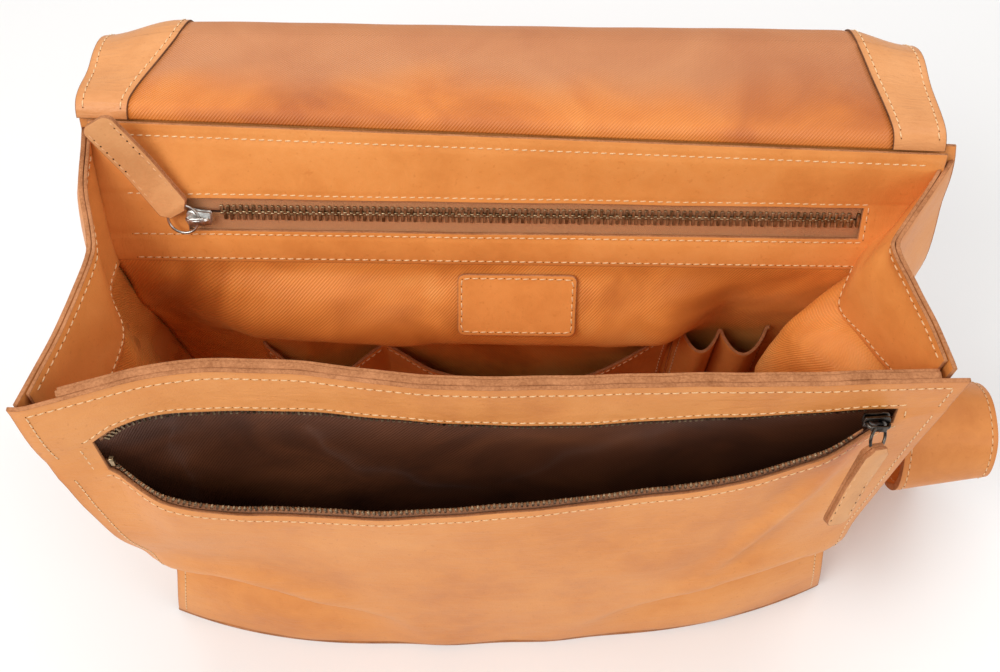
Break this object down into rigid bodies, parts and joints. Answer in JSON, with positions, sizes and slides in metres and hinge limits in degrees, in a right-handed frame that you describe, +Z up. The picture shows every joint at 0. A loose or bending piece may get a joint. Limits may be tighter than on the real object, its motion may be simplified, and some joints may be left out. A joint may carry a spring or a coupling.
{
  "type": "satchel bag",
  "caption": "Tan leather satchel with its flap thrown back: open mouth with satin lining, folded side gussets, zip pocket in the back facing, open belly zip pocket on the front, flat strap.",
  "frame": {"origin": "on the underside of the base panel, midway between the sides, 55 mm in front of the flap's hinge line", "axes": "+X to the bag's right as seen from the front, +Y towards the back, +Z up"},
  "size_m": [0.4521, 0.2333, 0.2929],
  "materials": {
    "leather": "smooth tan cowhide, semi-matt, with fine grain and raw brown edges",
    "facing_leather": "smooth tan leather facings and pockets with burnished raw edges",
    "pull_leather": "natural two-ply leather with perforated stitching",
    "lining": "orange satin twill, glossy",
    "flap_lining": "satin twill, orange by the hinge and dull pinkish brown further out",
    "pocket_lining": "brown cotton twill",
    "zip_tape": "brown herringbone tape",
    "brass": "antique brass zip teeth",
    "steel": "worn nickel",
    "gunmetal": "dark gunmetal"
  },
  "bodies": {
    "bag": {"back_panel": "leather", "base_panel": "leather", "front_panel": "leather", "gusset_left": "leather", "gusset_right": "leather", "back_facing": "facing_leather", "front_facing": "facing_leather", "front_edge_ply": "leather", "gusset_facing_left": "facing_leather", "gusset_facing_right": "facing_leather", "lining_back": "lining", "lining_front": "lining", "lining_left": "lining", "lining_right": "lining", "lining_base": "lining", "back_pocket_lining": "pocket_lining", "front_pocket_lining": "pocket_lining", "organiser_panel": "facing_leather", "pen_loops": "facing_leather", "label_patch": "facing_leather", "back_zip_tape_upper": "zip_tape", "back_zip_tape_lower": "zip_tape", "back_zip_teeth_upper": "brass", "back_zip_teeth_lower": "brass", "back_zip_end_stop": "brass", "front_zip_tape_upper": "zip_tape", "front_zip_tape_lower": "zip_tape", "front_zip_teeth_upper": "brass", "front_zip_teeth_lower": "brass", "front_zip_end_stop": "brass", "shoulder_strap": "leather"},
    "flap_top": {"flap_top_leather": "leather", "flap_top_lining": "flap_lining", "flap_top_border_left": "facing_leather", "flap_top_border_right": "facing_leather"},
    "flap_middle": {"flap_middle_leather": "leather", "flap_middle_lining": "flap_lining", "flap_middle_border_left": "facing_leather", "flap_middle_border_right": "facing_leather"},
    "flap_front": {"flap_front_leather": "leather", "flap_front_lining": "flap_lining", "flap_front_border_left": "facing_leather", "flap_front_border_right": "facing_leather", "flap_front_border_end": "facing_leather"},
    "back_slider": {"back_zip_slider": "steel"},
    "back_ring": {"back_zip_ring": "steel"},
    "back_pull": {"back_zip_pull": "pull_leather"},
    "front_slider": {"front_zip_slider": "gunmetal"},
    "front_ring": {"front_zip_ring": "gunmetal"},
    "front_pull": {"front_zip_pull": "pull_leather"}
  },
  "joints": [
    {"name": "flap_hinge", "type": "hinge", "parent": "bag", "child": "flap_top", "pos_m": [0, 0.0575, 0.2925], "axis": [1, 0, 0], "range_deg": [0, 176]},
    {"name": "flap_back_bend", "type": "hinge", "parent": "flap_top", "child": "flap_middle", "pos_m": [0, 0.127, 0.288], "axis": [1, 0, 0], "range_deg": [0, 88]},
    {"name": "flap_front_bend", "type": "hinge", "parent": "flap_middle", "child": "flap_front", "pos_m": [0, 0.131, 0.203], "axis": [1, 0, 0], "range_deg": [0, 84.5]},
    {"name": "back_zip_slide", "type": "slide", "parent": "bag", "child": "back_slider", "axis": [1, 0, 0], "range_m": [0, 0.26]},
    {"name": "back_ring_swing", "type": "hinge", "parent": "back_slider", "child": "back_ring", "pos_m": [-0.1425, 0.03502, 0.24883], "axis": [0, 0.4226, 0.9063], "range_deg": [0, 90]},
    {"name": "back_pull_swing", "type": "hinge", "parent": "back_ring", "child": "back_pull", "pos_m": [-0.1515, 0.03738, 0.25366], "axis": [0.866, 0.2113, 0.4532], "range_deg": [0, 90]},
    {"name": "front_zip_slide", "type": "slide", "parent": "bag", "child": "front_slider", "axis": [-0.9994, 0.02, 0.03], "range_m": [0, 0.005]},
    {"name": "front_ring_swing", "type": "hinge", "parent": "front_slider", "child": "front_ring", "pos_m": [0.1593, -0.06975, 0.23645], "axis": [-0.8996, -0.1437, 0.4123], "range_deg": [0, 60]},
    {"name": "front_pull_swing", "type": "hinge", "parent": "front_ring", "child": "front_pull", "pos_m": [0.15602, -0.07563, 0.22724], "axis": [-0.8996, -0.1437, 0.4123], "range_deg": [0, 80]}
  ],
  "couplings": [
    {"joint": "flap_back_bend", "follows": "flap_hinge", "ratio": 0.5},
    {"joint": "flap_front_bend", "follows": "flap_hinge", "ratio": 0.48}
  ]
}
